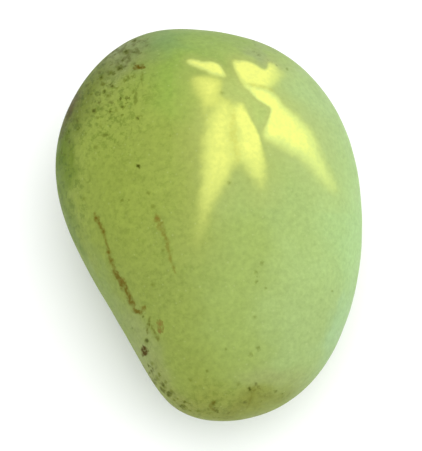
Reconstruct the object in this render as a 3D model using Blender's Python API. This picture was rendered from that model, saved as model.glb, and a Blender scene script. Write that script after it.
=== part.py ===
"""A green mango as picked, lying on one cheek, with the stub of its stalk. Blender 4.5, metres, +Z up.

The fruit's long axis runs along Y, from the apex at -Y to the stalk at +Y. The belly side with the
shallow sinus is at -X and the round back is at +X. Origin: under the middle of the whole object, on the
surface that it rests on.
"""

import math

import bmesh
import bpy
import numpy as np
from mathutils import Quaternion, Vector

MM = 0.001

# The fruit's outline, seen square on to its cheek, in millimetres from the middle of the fruit
OUTLINE_MM = {
    "stalk_end": (-7.6, 56.8),
    "belly_crown": (-26.6, 48.0),
    "belly_shoulder": (-39.8, 28.2),
    "belly_cheek": (-41.4, 7.8),
    "sinus": (-36.4, -14.8),
    "above_beak": (-31.4, -34.0),
    "beak": (-25.0, -49.8),
    "apex": (-11.2, -56.6),
    "back_tip": (8.4, -54.2),
    "back_flank": (28.4, -35.2),
    "back_middle": (39.2, -9.8),
    "back_shoulder": (41.4, 16.2),
    "back_crown": (31.6, 39.6),
    "crown": (10.4, 53.4),
}
CURVE_STEPS = 24

# The two cheeks
UPPER_CHEEK = 35.6 * MM
LOWER_CHEEK = 35.0 * MM
CHEEK_OVAL = (41.0 * MM, 55.0 * MM)
CHEEK_TOP = (-1.0 * MM, 0.0 * MM)
FULLNESS = 0.07
STALK_END_THICKER = 0.05
HALF_LENGTH = 57.0 * MM

# The small flat spot that it rests on
FLAT_SPOT_DEPTH = 0.6 * MM

# The basin round the stalk, and the socket that the stalk's root stands in
STALK_TURN = math.radians(7.5)
STALK_DIP = math.radians(-4.0)
NORMAL_STEP = math.radians(1.0)
BASIN_RADIUS = 11.0 * MM
BASIN_DEPTH = 2.4 * MM
BASIN_EASE = 1.3
SOCKET_RADIUS = 3.5 * MM
SOCKET_DEPTH = 3.0 * MM

# The stub of the stalk
GAP = 0.3 * MM
STUB_SIDES = 24
ROOT_RADIUS = SOCKET_RADIUS - GAP
COLLAR_RADIUS = 4.1 * MM
NECK_RADIUS = 2.5 * MM
CUT_RADIUS = 2.8 * MM
STUB_HEIGHT = 3.1 * MM
PITH_RADIUS = 1.1 * MM
PITH_DEPTH = 0.4 * MM

# The mesh: squares along each side of the cube that the fruit is rounded from, which is two units wide
GRID = 24
CUBE_FACE = 0.999
SOCKET_RINGS = 2
FINE_RINGS = 6.0
FINE_SHARE = 0.55
SEAM = 0.01 * MM
SHARP_FROM = math.radians(40)

SKIN_GREEN = (0.33, 0.43, 0.09, 1.0)
SKIN_ROUGHNESS = 0.42
STALK_BROWN = (0.16, 0.10, 0.055, 1.0)
STALK_ROUGHNESS = 0.85


def closed_curve(points, steps):
    """The smooth closed curve through the points: cubics that meet with the same slope and bend."""
    knots = np.array(points)
    count = len(knots)
    following = np.roll(knots, -1, axis=0)
    spans = np.linalg.norm(following - knots, axis=1)
    system = np.zeros((count, count))
    pull = np.zeros((count, 2))
    for i in range(count):
        after = (i + 1) % count
        system[i, i - 1] = 1 / spans[i - 1]
        system[i, i] = 2 / spans[i - 1] + 2 / spans[i]
        system[i, after] = 1 / spans[i]
        came = (knots[i] - knots[i - 1]) / spans[i - 1] ** 2
        goes = (knots[after] - knots[i]) / spans[i] ** 2
        pull[i] = 3 * (came + goes)
    slopes = np.linalg.solve(system, pull)
    curve = []
    for i in range(count):
        after = (i + 1) % count
        for t in np.arange(steps) / steps:
            here = (1 + 2 * t) * (1 - t) ** 2 * knots[i] + t * (1 - t) ** 2 * spans[i] * slopes[i]
            there = t * t * (3 - 2 * t) * knots[after] - t * t * (1 - t) * spans[i] * slopes[after]
            curve.append(here + there)
    return np.array(curve)


class Form:
    """The fruit's rounded form: the outline round its middle, and a domed cheek above and below."""

    def __init__(self):
        curve = closed_curve([np.array(p) * MM for p in OUTLINE_MM.values()], CURVE_STEPS)
        angles = np.arctan2(curve[:, 1], curve[:, 0]) % math.tau
        order = np.argsort(angles)
        self.angles = angles[order]
        self.reaches = np.hypot(curve[:, 0], curve[:, 1])[order]

    def point(self, direction):
        """Where the fruit's skin is in that direction from its middle."""
        angle = math.atan2(direction.y, direction.x)
        outline = float(np.interp(angle % math.tau, self.angles, self.reaches, period=math.tau))
        oval = 1 / math.hypot(math.cos(angle) / CHEEK_OVAL[0], math.sin(angle) / CHEEK_OVAL[1])
        rise = direction.z
        inward = math.hypot(direction.x, direction.y)
        share = rise * rise
        reach = ((1 - share) * outline + share * oval) * inward
        x = reach * math.cos(angle) + share * CHEEK_TOP[0]
        y = reach * math.sin(angle) + share * CHEEK_TOP[1]
        cheek = UPPER_CHEEK if rise > 0 else LOWER_CHEEK
        taper = 1 + STALK_END_THICKER * y / HALF_LENGTH
        z = cheek * taper * rise * (1 + FULLNESS * inward * inward)
        return Vector((x, y, z))

    def normal(self, turn):
        """The way straight out of the skin, where that turn takes +Y."""
        sides = []
        for axis in ((0, 0, 1), (1, 0, 0)):
            before = self.point(turn @ Quaternion(axis, -NORMAL_STEP) @ Vector((0, 1, 0)))
            after = self.point(turn @ Quaternion(axis, NORMAL_STEP) @ Vector((0, 1, 0)))
            sides.append(after - before)
        return sides[0].cross(sides[1]).normalized()


def stalk_turn():
    """The turn that takes +Y to the stalk's direction: a little towards the belly, and down."""
    return Quaternion((0, 0, 1), STALK_TURN) @ Quaternion((1, 0, 0), STALK_DIP)


def round_off(place):
    """The direction for a point on the cube, whose grid closes into finer, round rings at its +Y face."""
    place = Vector([math.tan(side * math.pi / 4) for side in place])
    if place.y > CUBE_FACE:
        ring = max(abs(place.x), abs(place.z))
        across = math.hypot(place.x, place.z)
        if across > 0:
            rings_out = ring * GRID / 2
            near = math.exp(-((rings_out / FINE_RINGS) ** 2))
            scale = (near * ring / across + 1 - near) * (1 - FINE_SHARE * near)
            place.x *= scale
            place.z *= scale
    return place.normalized()


def basin(distance):
    """How deep the basin is at that distance from the stalk."""
    if distance >= BASIN_RADIUS:
        return 0.0
    return BASIN_DEPTH * (0.5 + 0.5 * math.cos(math.pi * distance / BASIN_RADIUS)) ** BASIN_EASE


def plain_material(name, colour, roughness):
    """A plain material for one sub-part."""
    material = bpy.data.materials.new(name)
    material.use_nodes = True
    shader = material.node_tree.nodes["Principled BSDF"]
    shader.inputs["Base Color"].default_value = colour
    shader.inputs["Roughness"].default_value = roughness
    shader.inputs["Metallic"].default_value = 0.0
    return material


def add_object(name, mesh, material):
    """Puts a mesh in the scene as one smooth-shaded sub-part."""
    mesh.materials.append(material)
    mesh.shade_smooth()
    mesh.set_sharp_from_angle(angle=SHARP_FROM)
    part = bpy.data.objects.new(name, mesh)
    bpy.context.scene.collection.objects.link(part)
    return part


def build_fruit(form):
    """The fruit in one solid. Returns its object, the middle of the socket's rim and the stalk's axis."""
    grid = bmesh.new()
    bmesh.ops.create_cube(grid, size=2.0)
    bmesh.ops.subdivide_edges(grid, edges=grid.edges, cuts=GRID - 1, use_grid_fill=True)

    socket_faces = []
    reach = SOCKET_RINGS * 2 / GRID
    for face in grid.faces:
        middle = face.calc_center_median()
        if middle.y > CUBE_FACE and max(abs(middle.x), abs(middle.z)) < reach:
            socket_faces.append(face)
    rim = set()
    for face in socket_faces:
        for vert in face.verts:
            if any(other not in socket_faces for other in vert.link_faces):
                rim.add(vert)

    turn = stalk_turn()
    seat = form.point(turn @ Vector((0, 1, 0)))
    axis = form.normal(turn)
    for vert in grid.verts:
        vert.co = form.point(turn @ round_off(vert.co))
    for vert in grid.verts:
        out = vert.co - seat
        aside = out - axis * out.dot(axis)
        if out.dot(axis) > -BASIN_RADIUS:
            vert.co -= axis * basin(aside.length)
    for vert in rim:
        out = vert.co - seat
        aside = out - axis * out.dot(axis)
        vert.co += aside.normalized() * (SOCKET_RADIUS - aside.length)
    mouth = sum((vert.co for vert in rim), Vector()) / len(rim)

    pushed = bmesh.ops.extrude_face_region(grid, geom=socket_faces)
    floor = [item for item in pushed["geom"] if isinstance(item, bmesh.types.BMVert)]
    for vert in floor:
        vert.co -= axis * ((vert.co - mouth).dot(axis) + SOCKET_DEPTH)
    bmesh.ops.delete(grid, geom=socket_faces, context="FACES")

    underside = FLAT_SPOT_DEPTH - LOWER_CHEEK
    for vert in grid.verts:
        vert.co.z = max(vert.co.z, underside)
    bmesh.ops.recalc_face_normals(grid, faces=grid.faces)

    mesh = bpy.data.meshes.new("fruit")
    grid.to_mesh(mesh)
    grid.free()
    fruit = add_object("fruit", mesh, plain_material("green_skin", SKIN_GREEN, SKIN_ROUGHNESS))
    return fruit, mouth, axis


def stub_profile():
    """The stub's turned profile as (radius, height above the socket's mouth), from its root to its pith."""
    return [
        (0.0, GAP - SOCKET_DEPTH),
        (ROOT_RADIUS, GAP - SOCKET_DEPTH),
        (ROOT_RADIUS, 2 * GAP),
        (COLLAR_RADIUS, 3 * GAP),
        (COLLAR_RADIUS, 4.5 * GAP),
        (NECK_RADIUS + 2 * GAP, 6 * GAP),
        (NECK_RADIUS, 0.75 * STUB_HEIGHT),
        (CUT_RADIUS, STUB_HEIGHT),
        (PITH_RADIUS, STUB_HEIGHT - PITH_DEPTH / 2),
        (0.0, STUB_HEIGHT - PITH_DEPTH),
    ]


def build_stub(mouth, axis):
    """The woody stub of the stalk, turned round its axis, with its root in the fruit's socket."""
    turned = bmesh.new()
    profile = [turned.verts.new((radius, 0, height)) for radius, height in stub_profile()]
    edges = [turned.edges.new(pair) for pair in zip(profile, profile[1:])]
    bmesh.ops.spin(
        turned,
        geom=profile + edges,
        axis=(0, 0, 1),
        angle=math.tau,
        steps=STUB_SIDES,
        use_merge=True,
    )
    bmesh.ops.remove_doubles(turned, verts=turned.verts, dist=SEAM)
    bmesh.ops.recalc_face_normals(turned, faces=turned.faces)
    mesh = bpy.data.meshes.new("stalk_stub")
    turned.to_mesh(mesh)
    turned.free()
    stub = add_object("stalk_stub", mesh, plain_material("dry_stalk", STALK_BROWN, STALK_ROUGHNESS))
    stub.rotation_mode = "QUATERNION"
    stub.rotation_quaternion = axis.to_track_quat("Z", "X")
    stub.location = mouth
    return stub


def set_down(parts):
    """Hangs the parts on one empty, which puts the middle of their underside at the origin."""
    bpy.context.view_layer.update()
    corners = [part.matrix_world @ vert.co for part in parts for vert in part.data.vertices]
    lowest = [min(corner[i] for corner in corners) for i in range(3)]
    highest = [max(corner[i] for corner in corners) for i in range(3)]
    middle = bpy.data.objects.new("fruit_middle", None)
    bpy.context.scene.collection.objects.link(middle)
    middle.location = (-(lowest[0] + highest[0]) / 2, -(lowest[1] + highest[1]) / 2, -lowest[2])
    for part in parts:
        part.parent = middle


def main():
    """Clears the scene and builds the fruit and the stub of its stalk."""
    for thing in list(bpy.data.objects):
        bpy.data.objects.remove(thing)
    fruit, mouth, axis = build_fruit(Form())
    stub = build_stub(mouth, axis)
    set_down([fruit, stub])


main()
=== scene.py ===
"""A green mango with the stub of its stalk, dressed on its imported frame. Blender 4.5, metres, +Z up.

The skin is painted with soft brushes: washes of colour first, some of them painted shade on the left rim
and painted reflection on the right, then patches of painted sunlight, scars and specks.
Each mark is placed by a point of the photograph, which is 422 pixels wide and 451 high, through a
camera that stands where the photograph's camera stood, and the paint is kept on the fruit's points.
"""

import logging
import math
from collections.abc import Iterable
from dataclasses import dataclass
from enum import Enum
from typing import NamedTuple

import bpy
import numpy as np
from mathutils import Matrix, Vector, noise
from mathutils.bvhtree import BVHTree


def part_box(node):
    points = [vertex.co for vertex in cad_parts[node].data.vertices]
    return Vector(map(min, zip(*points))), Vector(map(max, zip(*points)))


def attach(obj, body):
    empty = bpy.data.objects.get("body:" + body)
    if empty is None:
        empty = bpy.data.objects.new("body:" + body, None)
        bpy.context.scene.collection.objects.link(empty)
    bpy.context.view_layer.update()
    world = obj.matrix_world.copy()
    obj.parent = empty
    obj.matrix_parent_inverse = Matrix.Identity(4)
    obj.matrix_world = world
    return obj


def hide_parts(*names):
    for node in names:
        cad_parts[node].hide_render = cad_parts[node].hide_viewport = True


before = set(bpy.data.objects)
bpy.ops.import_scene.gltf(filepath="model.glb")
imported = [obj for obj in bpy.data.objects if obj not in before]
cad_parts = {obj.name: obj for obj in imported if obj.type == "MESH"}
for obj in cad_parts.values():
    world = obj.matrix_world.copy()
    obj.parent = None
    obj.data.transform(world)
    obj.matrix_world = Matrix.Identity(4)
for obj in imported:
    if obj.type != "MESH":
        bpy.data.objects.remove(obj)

MM = 0.001
PHOTO_WIDTH = 422
PHOTO_HEIGHT = 451

log = logging.getLogger("mango")

Colour = tuple[float, float, float]
Pair = tuple[float, float]
Knot = tuple[float, float, float]


def srgb(red: int, green: int, blue: int) -> Colour:
    """Turns a colour as a screen shows it into linear light.

    Args:
        red: The red value, from 0 to 255.
        green: The green value, from 0 to 255.
        blue: The blue value, from 0 to 255.

    Returns:
        The three values in linear light, from 0 to 1.
    """
    linear = []
    for value in (red, green, blue):
        share = value / 255
        linear.append(share / 12.92 if share <= 0.04045 else ((share + 0.055) / 1.055) ** 2.4)
    return (linear[0], linear[1], linear[2])


def smoothstep(low: float, high: float, values: np.ndarray) -> np.ndarray:
    """Eases values from 0 at low to 1 at high.

    Args:
        low: The value that becomes 0.
        high: The value that becomes 1.
        values: The values to ease.

    Returns:
        The eased values.
    """
    share = np.clip((values - low) / (high - low), 0, 1)
    return share * share * (3 - 2 * share)


def smooth_line(knots: np.ndarray, closed: bool, steps: int = 8) -> np.ndarray:
    """Draws a smooth line through given points.

    Args:
        knots: One row for each point, with any number of columns.
        closed: Whether the line returns to its start.
        steps: How many points the line gets for each of the knots.

    Returns:
        The line's points, with the knots' columns.
    """
    if closed:
        before = np.roll(knots, 1, axis=0)
        after = np.roll(knots, -1, axis=0)
        last = np.roll(knots, -2, axis=0)
        spans = len(knots)
    else:
        ends = np.vstack([2 * knots[0] - knots[1], knots, 2 * knots[-1] - knots[-2]])
        before, knots, after, last = ends[:-3], ends[1:-2], ends[2:-1], ends[3:]
        spans = len(knots)
    line = []
    for i in range(spans):
        for t in np.arange(steps) / steps:
            bend = 2 * before[i] - 5 * knots[i] + 4 * after[i] - last[i]
            twist = 3 * (knots[i] - after[i]) + last[i] - before[i]
            line.append(knots[i] + t / 2 * (after[i] - before[i] + t * (bend + t * twist)))
    if not closed:
        line.append(after[-1])
    return np.array(line)


class Slot(Enum):
    """Names for the record's two material slots, which nothing in this script uses."""

    SKIN = "skin"
    STALK = "stalk"


class Pixel(NamedTuple):
    """A point of the photograph, in pixels from its top left corner."""

    x: float
    y: float


@dataclass(frozen=True)
class PhotoCamera:
    """The camera that looks down on the fruit as the photograph's did."""

    azimuth: float = math.radians(-15.4)
    elevation: float = math.radians(73.4)
    distance: float = 450 * MM
    lens: float = 128.1
    sensor: float = 36.0
    aim: tuple[float, float, float] = (-2.53 * MM, -2.55 * MM, 34.5 * MM)

    @property
    def back(self) -> Vector:
        """The way from the fruit to the camera."""
        level = math.cos(self.elevation)
        return Vector(
            (math.sin(self.azimuth) * level, -math.cos(self.azimuth) * level, math.sin(self.elevation))
        )

    @property
    def place(self) -> Vector:
        """Where the camera stands."""
        return Vector(self.aim) + self.back * self.distance

    @property
    def right(self) -> Vector:
        """The way to the picture's right."""
        return Vector((math.cos(self.azimuth), math.sin(self.azimuth), 0))

    @property
    def up(self) -> Vector:
        """The way to the picture's top."""
        return self.back.cross(self.right)

    @property
    def focus(self) -> float:
        """The focal length in pixels, as the sensor's width covers the picture's longer side."""
        return self.lens / self.sensor * PHOTO_HEIGHT

    def ray(self, pixel: Pixel) -> Vector:
        """Finds the way from the camera through a point of the picture.

        Args:
            pixel: The point of the picture.

        Returns:
            A unit vector away from the camera.
        """
        across = (pixel.x - PHOTO_WIDTH / 2) / self.focus
        upward = (PHOTO_HEIGHT / 2 - pixel.y) / self.focus
        return (self.right * across + self.up * upward - self.back).normalized()

    def pixels(self, places: np.ndarray) -> np.ndarray:
        """Finds where points in space are in the picture.

        Args:
            places: One row for each point, in metres.

        Returns:
            One row of x and y in pixels for each point.
        """
        out = places - np.array(self.place)
        depth = -(out @ np.array(self.back))
        across = out @ np.array(self.right) / depth * self.focus
        upward = out @ np.array(self.up) / depth * self.focus
        return np.stack([PHOTO_WIDTH / 2 + across, PHOTO_HEIGHT / 2 - upward], axis=1)

    def build(self) -> bpy.types.Object:
        """Puts the camera in the scene.

        Returns:
            The camera's object.
        """
        data = bpy.data.cameras.new("photo_camera")
        data.lens = self.lens
        data.sensor_width = self.sensor
        data.clip_start = 10 * MM
        camera = bpy.data.objects.new("photo_camera", data)
        bpy.context.scene.collection.objects.link(camera)
        camera.location = self.place
        camera.rotation_mode = "QUATERNION"
        camera.rotation_quaternion = (-self.back).to_track_quat("-Z", "Y")
        bpy.context.scene.camera = camera
        return camera


VECTOR = "NodeSocketVector"
VALUE = "NodeSocketFloat"
COLOUR = "NodeSocketColor"


class Graph:
    """Adds shader nodes to a tree, in the order in which they work."""

    def __init__(self, tree: bpy.types.NodeTree) -> None:
        """Takes the tree to add to."""
        self.tree = tree

    def add(self, kind: str, inputs: dict | None = None, **settings: object) -> bpy.types.Node:
        """Adds one node.

        Args:
            kind: The node's Blender type.
            inputs: A value or another node's socket for each of the node's inputs, by name or number.
            **settings: Values for the node's own properties.

        Returns:
            The new node.
        """
        node = self.tree.nodes.new(kind)
        for key, value in settings.items():
            setattr(node, key, value)
        for key, value in (inputs or {}).items():
            if isinstance(value, bpy.types.NodeSocket):
                self.tree.links.new(value, node.inputs[key])
            else:
                node.inputs[key].default_value = value
        return node

    def math(self, operation: str, *values: object) -> bpy.types.NodeSocket:
        """Adds a Math node on the values and returns its result."""
        return self.add("ShaderNodeMath", dict(enumerate(values)), operation=operation).outputs[0]

    def times(self, first: object, second: object) -> bpy.types.NodeSocket:
        """Multiplies two values."""
        return self.math("MULTIPLY", first, second)

    def most(self, first: object, second: object) -> bpy.types.NodeSocket:
        """Takes the larger of two values."""
        return self.math("MAXIMUM", first, second)

    def vectors(self, operation: str, inputs: dict) -> bpy.types.NodeOutputs:
        """Adds a Vector Math node and returns its outputs."""
        return self.add("ShaderNodeVectorMath", inputs, operation=operation).outputs

    def ease(
        self, value: object, low: object, high: object, start: float = 0.0, end: float = 1.0
    ) -> bpy.types.NodeSocket:
        """Eases a value that runs from low to high into one from start to end."""
        inputs = {0: value, 1: low, 2: high, 3: start, 4: end}
        return self.add("ShaderNodeMapRange", inputs, interpolation_type="SMOOTHSTEP").outputs[0]

    def mix(self, share: object, first: object, second: object, blend: str = "MIX") -> bpy.types.NodeSocket:
        """Mixes two colours.

        Args:
            share: How much of the second colour there is.
            first: A colour of three values, or a socket.
            second: A colour of three values, or a socket.
            blend: The way in which they mix.

        Returns:
            The mixed colour's socket.
        """
        colours = [(*c, 1.0) if isinstance(c, tuple) else c for c in (first, second)]
        inputs = {0: share, 6: colours[0], 7: colours[1]}
        return self.add("ShaderNodeMix", inputs, data_type="RGBA", blend_type=blend).outputs[2]

    def clouds(
        self, place: object, scale: object, detail: float, roughness: float
    ) -> bpy.types.NodeOutputs:
        """Adds a noise texture and returns its outputs, which are its value and its colour."""
        inputs = {"Vector": place, "Scale": scale, "Detail": detail, "Roughness": roughness}
        return self.add("ShaderNodeTexNoise", inputs).outputs

    def noise(
        self, place: object, size: float, detail: float, roughness: float = 0.5
    ) -> bpy.types.NodeSocket:
        """Adds soft noise, whose lumps are about that size in metres, and returns its value."""
        return self.clouds(place, 1 / size, detail, roughness)[0]

    def cells(self, place: object, scale: object) -> tuple[bpy.types.NodeSocket, bpy.types.NodeSocket]:
        """Scatters round cells.

        Args:
            place: Where the texture is read.
            scale: How many cells there are in a metre.

        Returns:
            How far the nearest cell's middle is, and that cell's own chance value from 0 to 1.
        """
        inputs = {"Vector": place, "Scale": scale, "Randomness": 1.0}
        cell = self.add("ShaderNodeTexVoronoi", inputs).outputs
        return cell["Distance"], self.split(cell["Color"])[0]

    def painted(self, name: str) -> bpy.types.NodeSocket:
        """Reads the three values that are kept on the mesh's points under that name."""
        return self.add("ShaderNodeAttribute", attribute_name=name).outputs["Vector"]

    def split(self, vector: object) -> bpy.types.NodeOutputs:
        """Splits a vector into its three values."""
        return self.add("ShaderNodeSeparateXYZ", {0: vector}).outputs

    def group(self, group: bpy.types.NodeTree, **inputs: object) -> bpy.types.NodeSocket:
        """Places a node group with its own values and returns its result."""
        return self.add("ShaderNodeGroup", inputs, node_tree=group).outputs[0]

    def relief(self, height: object, strength: float, depth: float) -> bpy.types.NodeSocket:
        """Turns heights into a bumpy normal, where a height of 1 is that depth in metres."""
        inputs = {"Height": height, "Strength": strength, "Distance": depth}
        return self.add("ShaderNodeBump", inputs).outputs[0]


def new_group(
    name: str, inputs: dict[str, str], result: tuple[str, str]
) -> tuple[Graph, bpy.types.NodeOutputs, bpy.types.NodeSocket]:
    """Starts a shader node group that takes a place and a size, and gives one result.

    Args:
        name: The group's name.
        inputs: The kind of socket for the name of each input after the place and the size.
        result: The result's name and kind of socket.

    Returns:
        The group's graph, its inputs as sockets to read, and the socket to fill with the result.
    """
    tree = bpy.data.node_groups.new(name, "ShaderNodeTree")
    for key, kind in {"Place": VECTOR, "Size": VALUE, **inputs}.items():
        tree.interface.new_socket(name=key, in_out="INPUT", socket_type=kind)
    tree.interface.new_socket(name=result[0], in_out="OUTPUT", socket_type=result[1])
    graph = Graph(tree)
    given = graph.add("NodeGroupInput").outputs
    return graph, given, graph.add("NodeGroupOutput").inputs[0]


def speckle_group() -> bpy.types.NodeTree:
    """Makes the effect of specks that cover a share of the surface.

    Returns:
        A group that takes a place, the specks' size, the share that they cover and how soft their
        edges are, and gives a mask.
    """
    highest_edge = 0.75
    fall = 0.35
    graph, given, result = new_group("speckles", {"Cover": VALUE, "Softness": VALUE}, ("Mask", VALUE))
    scale = graph.math("DIVIDE", 1.0, given["Size"])
    value = graph.clouds(given["Place"], scale, detail=3.0, roughness=0.56)[0]
    edge = graph.math("MULTIPLY_ADD", given["Cover"], -fall, highest_edge)
    mask = graph.ease(value, edge, graph.math("ADD", edge, given["Softness"]))
    graph.tree.links.new(mask, result)
    return graph.tree


def blot_group() -> bpy.types.NodeTree:
    """Makes the effect of ragged round blots, each of its own size.

    Returns:
        A group that takes a place, how far apart the blots are, how large they get and how soft their
        edges are, and gives a mask.
    """
    fineness = 1.8
    smallest, largest = 0.05, 0.85
    graph, given, result = new_group("blots", {"Cover": VALUE, "Softness": VALUE}, ("Mask", VALUE))
    scale = graph.math("DIVIDE", 1.0, given["Size"])
    finer = graph.times(scale, fineness)
    shift = graph.clouds(given["Place"], finer, detail=2.0, roughness=0.6)["Color"]
    shift = graph.vectors("SUBTRACT", {0: shift, 1: (0.5, 0.5, 0.5)})[0]
    shift = graph.vectors("SCALE", {0: shift, "Scale": given["Size"]})[0]
    ragged = graph.vectors("ADD", {0: given["Place"], 1: shift})[0]
    away, chance = graph.cells(ragged, scale)
    radius = graph.times(graph.ease(chance, 0.0, 1.0, smallest, largest), given["Cover"])
    mask = graph.ease(graph.math("SUBTRACT", radius, away), 0.0, given["Softness"])
    graph.tree.links.new(mask, result)
    return graph.tree


def mottle_group() -> bpy.types.NodeTree:
    """Makes the effect of a colour that varies softly from place to place.

    Returns:
        A group that takes a place, a size, an amount and a colour, and gives the varied colour.
    """
    graph, given, result = new_group("mottling", {"Amount": VALUE, "Colour": COLOUR}, ("Colour", COLOUR))
    scale = graph.math("DIVIDE", 1.0, given["Size"])
    value = graph.clouds(given["Place"], scale, detail=4.0, roughness=0.6)[0]
    swing = graph.times(graph.math("SUBTRACT", value, 0.5), given["Amount"])
    factor = graph.math("ADD", 1.0, swing)
    varied = graph.vectors("SCALE", {0: given["Colour"], "Scale": factor})[0]
    graph.tree.links.new(varied, result)
    return graph.tree


@dataclass(frozen=True)
class Effects:
    """The node groups that the materials share: specks, ragged round blots and soft variation."""

    speckles: bpy.types.NodeTree
    blots: bpy.types.NodeTree
    mottling: bpy.types.NodeTree


def new_material(name: str) -> tuple[bpy.types.Material, Graph, bpy.types.Node]:
    """Starts a material.

    Args:
        name: The material's name.

    Returns:
        The material, its graph and its shader.
    """
    material = bpy.data.materials.new(name)
    material.use_nodes = True
    return material, Graph(material.node_tree), material.node_tree.nodes["Principled BSDF"]


def select_only(piece: bpy.types.Object) -> None:
    """Makes a piece the only selected object, and the active one.

    Args:
        piece: The piece.
    """
    bpy.ops.object.select_all(action="DESELECT")
    piece.select_set(True)
    bpy.context.view_layer.objects.active = piece


def merged_copy(node: str, name: str) -> bpy.types.Object:
    """Copies a node's mesh into a new object, with its loose triangles merged.

    Args:
        node: The node's name.
        name: The new object's name.

    Returns:
        The new object.
    """
    piece = bpy.data.objects.new(name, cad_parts[node].data.copy())
    bpy.context.scene.collection.objects.link(piece)
    piece.data.materials.clear()
    select_only(piece)
    bpy.ops.object.mode_set(mode="EDIT")
    bpy.ops.mesh.select_all(action="SELECT")
    bpy.ops.mesh.remove_doubles(threshold=0.001 * MM)
    bpy.ops.mesh.tris_convert_to_quads(face_threshold=math.radians(30), shape_threshold=math.radians(60))
    bpy.ops.object.mode_set(mode="OBJECT")
    return piece


def apply_modifier(piece: bpy.types.Object, kind: str, **settings: object) -> None:
    """Adds a modifier to a piece and applies it.

    Args:
        piece: The piece.
        kind: The modifier's Blender type.
        **settings: Values for the modifier's properties.
    """
    select_only(piece)
    modifier = piece.modifiers.new(kind.lower(), kind)
    for key, value in settings.items():
        setattr(modifier, key, value)
    bpy.ops.object.modifier_apply(modifier=modifier.name)


def ripple(piece: bpy.types.Object, size: float, height: float, where: str) -> None:
    """Gives a piece a soft, uneven relief.

    Args:
        piece: The piece.
        size: How wide the waves are, in metres.
        height: How high they are, in metres.
        where: The vertex group that takes them.
    """
    clouds = bpy.data.textures.new(f"{piece.name}_waves", "CLOUDS")
    clouds.noise_scale = size
    clouds.noise_depth = 2
    apply_modifier(
        piece,
        "DISPLACE",
        texture=clouds,
        texture_coords="LOCAL",
        strength=height,
        mid_level=0.5,
        vertex_group=where,
    )


def read_rows(items: bpy.types.bpy_prop_collection, name: str) -> np.ndarray:
    """Reads three values of each item.

    Args:
        items: The items, such as a mesh's points.
        name: The name of the items' property.

    Returns:
        One row of three values for each item.
    """
    values = np.empty(len(items) * 3)
    items.foreach_get(name, values)
    return values.reshape(-1, 3)


def keep(mesh: bpy.types.Mesh, name: str, values: np.ndarray) -> None:
    """Keeps three values for each of a mesh's points.

    Args:
        mesh: The mesh.
        name: The name that the material reads them by.
        values: One row of three values for each point.
    """
    attribute = mesh.attributes.new(name, "FLOAT_VECTOR", "POINT")
    attribute.data.foreach_set("vector", np.ascontiguousarray(values, dtype=np.float32).ravel())


@dataclass(frozen=True)
class Wash:
    """A soft brush of colour: where in the picture, how far it reaches and how it is turned."""

    at: Pixel
    reach: Pair
    colour: Colour
    strength: float = 1.0
    turn: float = 0.0


@dataclass(frozen=True)
class PaintedSunPatch:
    """A patch of painted sunlight, pale yellow: its outline, how soft each point of its edge is, how it
    fades and pales.

    The outline's points are x, y and the edge's softness, all in pixels of the photograph.
    """

    outline: tuple[Knot, ...]
    strength: float = 1.0
    bright_at: Pixel = Pixel(0, 0)
    faint_at: Pixel = Pixel(0, 0)
    faint: float = 1.0
    paleness: float = 0.0


@dataclass(frozen=True)
class ScarOrSunSeam:
    """A thin line, most of them corky scars and two of them seams of painted sunlight: the points that it
    runs through, as x, y and half its width, in pixels.
    """

    line: tuple[Knot, ...]
    colour: Colour
    strength: float = 0.85
    softness: float = 1.0
    sway: float = 2.0


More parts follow.
